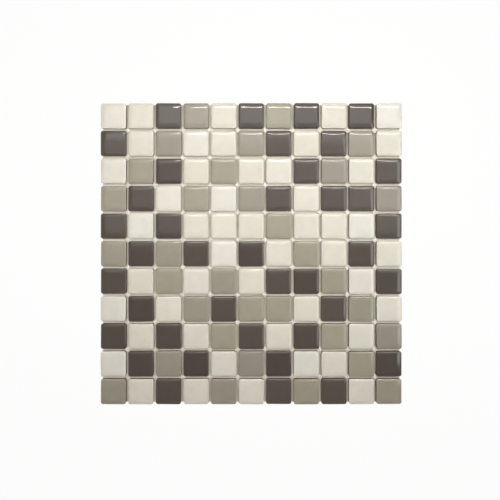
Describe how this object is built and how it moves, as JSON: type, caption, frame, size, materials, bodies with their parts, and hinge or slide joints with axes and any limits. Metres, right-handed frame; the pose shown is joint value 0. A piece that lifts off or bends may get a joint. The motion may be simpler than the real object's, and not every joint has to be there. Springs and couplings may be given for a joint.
{
  "type": "pool mosaic tile sheet",
  "caption": "Square sheet of glazed porcelain mosaic chips in cream, sage grey and charcoal with cushioned edges and open joints, tied together by white plastic dots at the joint crossings.",
  "frame": {"origin": "the middle of the chips' backs, on the surface that the sheet lies on", "axes": "+Z out of the glazed faces, +Y to the far row of the laying plan, which is the top row in the picture, +X to its right"},
  "size_m": [0.298, 0.298, 0.005],
  "materials": {
    "cream_glaze": "glossy cream glaze",
    "sage_glaze": "glossy sage-grey glaze",
    "charcoal_glaze": "glossy charcoal glaze",
    "dot_plastic": "soft white plastic, poured and set"
  },
  "bodies": {
    "root": {"cream_chips": "cream_glaze", "sage_chips": "sage_glaze", "charcoal_chips": "charcoal_glaze", "joint_dots": "dot_plastic"}
  },
  "joints": []
}
